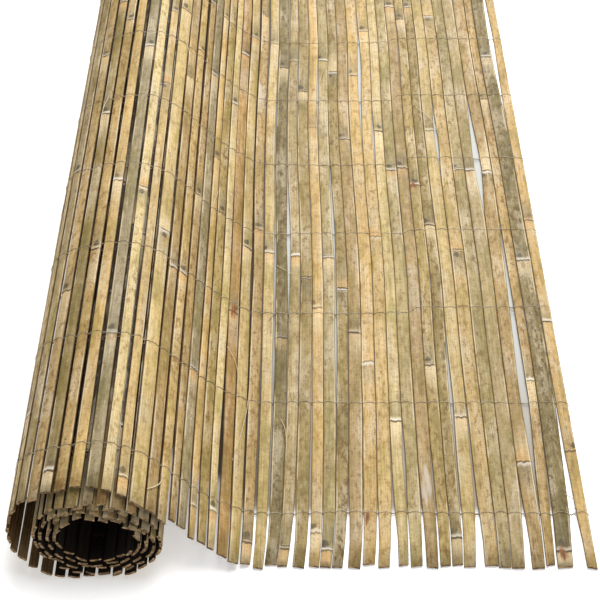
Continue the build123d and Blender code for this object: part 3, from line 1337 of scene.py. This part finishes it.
# %% [markdown]
# ## Floor, light and camera
# The photograph is cut out on white with soft light from all round. So the floor is nearly
# white and glows a little as painted light that lifts its shadows, a large soft lamp hangs
# over the screen, and the sky fills the shadows. Seen through the screen the floor has
# painted shadow: grey between the flat strips, browner near the front, and dark brown under
# the climb. Light alone would not give this on a white floor, so its colour changes there.
# The camera looks down at 45 degrees along the strips.
# Its height and distance follow from the rows of wire, which are evenly spaced.

# %% The floor itself
floor_reach = 6.0
floor_level = -2 * wire_radius
floor_bm = bmesh.new()
bmesh.ops.create_grid(floor_bm, x_segments=1, y_segments=1, size=floor_reach)
bmesh.ops.translate(floor_bm, vec=(0, 0, floor_level), verts=floor_bm.verts)
floor = put_in_scene("floor", mesh_from(floor_bm, "floor"))

# %% Where the floor gets painted shadow, from the part's own middle
white = (0.93, 0.93, 0.925, 1)
# painted shadow colours of the floor where it is seen through the screen
painted_shadow_near_front = (0.34, 0.285, 0.215, 1)
painted_shadow_under_screen = (0.52, 0.525, 0.495, 1)
painted_shadow_under_climb = (0.085, 0.058, 0.034, 1)
full_glow = (1.0, 1.0, 1.0, 1)
faint_glow = (0.05, 0.05, 0.045, 1)
flat_left = (-0.100, -0.060)
flat_right = (free_edge - 0.022, free_edge - 0.032)
climb_left = (-0.200, -0.180)
climb_foot = -0.020
climb_right = (climb_foot, -0.055)
climb_top = -0.150
climb_lean = 0.075
band_front = 0.012
band_back = 0.020
# strength of the glow: painted light that lifts the floor's shadows
floor_glow = 0.36
first_row, third_row, last_row = row_places[0], row_places[2], row_places[-1]


def floor_finish():
    """Floor: white and faintly glowing as painted light, with painted shadow where it is only seen through
    the screen.
    """
    material, tree, shader = new_material("pale_floor", roughness=0.9)
    x, y, _ = parts_of(object_place(tree))
    seen_from = less(y, ramp(x, climb_foot, climb_top, 0.0, climb_lean))

    def band(left, right, soft, from_y):
        sides = times(ramp(x, *left), ramp(x, *right))
        front = times(sides, ramp(from_y, first_row - band_front, first_row + soft))
        return times(front, ramp(y, last_row, last_row - band_back))

    flat = band(flat_left, flat_right, 0.008, y)
    climb = band(climb_left, climb_right, 0.012, seen_from)
    from_front = ramp(y, first_row - band_back, third_row)
    # painted shadow through the gaps: browner near the front, grey further back, dark brown under the
    # climb
    colour = tint(flat, white, tint(from_front, painted_shadow_near_front, painted_shadow_under_screen))
    colour = tint(climb, colour, painted_shadow_under_climb)
    # painted light: the open floor glows, and it barely glows under the screen
    glow = tint(maths("MAXIMUM", flat, climb), full_glow, faint_glow)
    coloured(shader, colour, **{"Emission Color": glow})
    shader.inputs["Emission Strength"].default_value = floor_glow
    return material


floor.data.materials.append(floor_finish())

# %% Light
sky_white = (1.0, 1.0, 1.0, 1)
sky_strength = 0.30
world = bpy.data.worlds.new("soft_sky")
world.use_nodes = True
sky = world.node_tree.nodes["Background"].inputs
sky["Color"].default_value = sky_white
sky["Strength"].default_value = sky_strength
bpy.context.scene.world = world


def soft_lamp(name, place, target, size, power):
    """A square area lamp aimed at a target."""
    lamp = put_in_scene(name, bpy.data.lights.new(name, "AREA"))
    lamp.data.size = size
    lamp.data.energy = power
    lamp.location = place
    lamp.rotation_euler = (Vector(target) - Vector(place)).to_track_quat("-Z", "Y").to_euler()


soft_lamp("key_softbox", (0.25, 0.1, 2.0), (0.05, 0.0, 0.0), 1.2, 38.8)
soft_lamp("far_softbox", (0.4, 2.0, 1.4), (0.1, 0.3, 0.0), 1.6, 40.0)
soft_lamp("front_softbox", (0.0, -1.9, 0.9), (0.0, -0.4, 0.05), 0.9, 3.0)

# %% Camera
picture_size = 600
focal_pixels = 1400
before_camera = 0.7112
camera_height = 1.0482
beside_camera = 0.2650
looking_down = math.radians(45)
lens_data = bpy.data.cameras.new("camera")
lens_data.sensor_width = 36.0
lens_data.lens = focal_pixels / picture_size * lens_data.sensor_width
lens_data.clip_start = 0.05
camera = put_in_scene("camera", lens_data)
camera.location = (free_edge - beside_camera, front_line - before_camera, camera_height)
camera.rotation_euler = (looking_down, 0, 0)
bpy.context.scene.camera = camera
bpy.context.scene.view_settings.view_transform = "Standard"
print("camera at", [round(value, 4) for value in camera.location])
